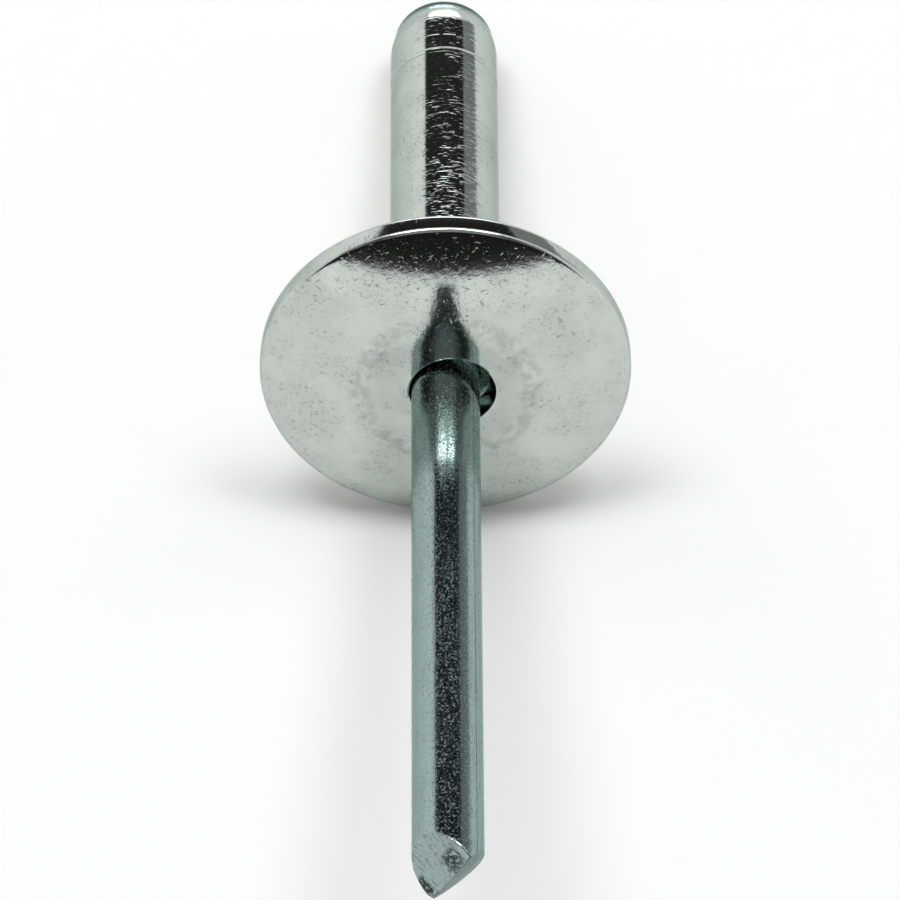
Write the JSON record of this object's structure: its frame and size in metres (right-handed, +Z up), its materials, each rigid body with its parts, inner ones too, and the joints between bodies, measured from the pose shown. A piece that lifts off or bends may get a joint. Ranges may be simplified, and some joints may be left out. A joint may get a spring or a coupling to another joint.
{
  "type": "pop rivet",
  "caption": "Blind rivet with a wide domed flange, a plain round shank and its pulling mandrel, which has a domed head and a sheared tip.",
  "frame": {"origin": "on the floor, under the middle of the length of the rivet as it lies", "axes": "+Y runs along the floor from the mandrel's raised tip to its domed head, +X to the side that the mouth is offset to, +Z up"},
  "size_m": [0.016, 0.054, 0.017],
  "materials": {
    "rivet_body": "bright zinc plating, semi-gloss",
    "mandrel": "bluish zinc plating with fine lengthwise draw lines"
  },
  "bodies": {
    "root": {"rivet_body": "rivet_body", "mandrel": "mandrel"}
  },
  "joints": []
}
